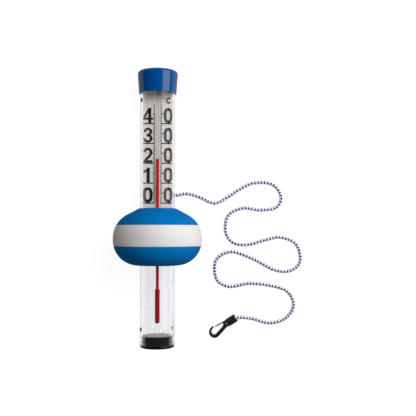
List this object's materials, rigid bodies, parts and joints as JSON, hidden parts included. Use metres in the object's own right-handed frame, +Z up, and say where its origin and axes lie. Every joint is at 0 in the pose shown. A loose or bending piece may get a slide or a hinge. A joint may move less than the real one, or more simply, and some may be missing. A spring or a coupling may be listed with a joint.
{
  "type": "floating pool thermometer",
  "caption": "Floating pool thermometer: foam float around a clear tube with a scale and glass thermometer, a cap, an end plug, and a braided cord with a snap hook.",
  "frame": {"origin": "middle of the base of the box around the thermometer, without its cord and hook, on the floor it lies on", "axes": "+Z up from the floor, +Y along the tube towards the cap, +X towards the side the cord lies on"},
  "size_m": [0.3057, 0.4355, 0.1368],
  "materials": {
    "clear_tube": "gloss",
    "blue_cap": "gloss",
    "white_plate": "satin",
    "glass": "gloss",
    "red_liquid": "gloss",
    "pale_holder": "satin",
    "blue_foam": "matte",
    "white_foam": "matte",
    "black_plug": "satin",
    "cord_braid": "matte",
    "black_hook": "satin"
  },
  "bodies": {
    "body": {"clear_tube": "clear_tube", "top_cap": "blue_cap", "scale_plate": "white_plate", "glass_stem": "glass", "bulb_liquid": "red_liquid", "upper_holder": "pale_holder", "lower_holder": "pale_holder", "float_upper": "blue_foam", "float_band": "white_foam", "float_lower": "blue_foam", "end_plug": "black_plug", "cord": "cord_braid", "cord_knot": "cord_braid", "hook_body": "black_hook", "hook_knot": "cord_braid"},
    "liquid": {"liquid_column": "red_liquid"},
    "gate": {"hook_gate": "black_hook"}
  },
  "joints": [
    {"name": "column_rise", "type": "slide", "parent": "body", "child": "liquid", "axis": [0, 0.9891, -0.1474], "range_m": [-0.052, 0.085], "deforming": ["liquid_column"]},
    {"name": "gate_hinge", "type": "hinge", "parent": "body", "child": "gate", "pos_m": [0.11057, -0.19417, 0.00514], "axis": [-0.0666, -0.0446, 0.9968], "range_deg": [0, 18], "stiffness_Nm_per_rad": 0.01}
  ]
}
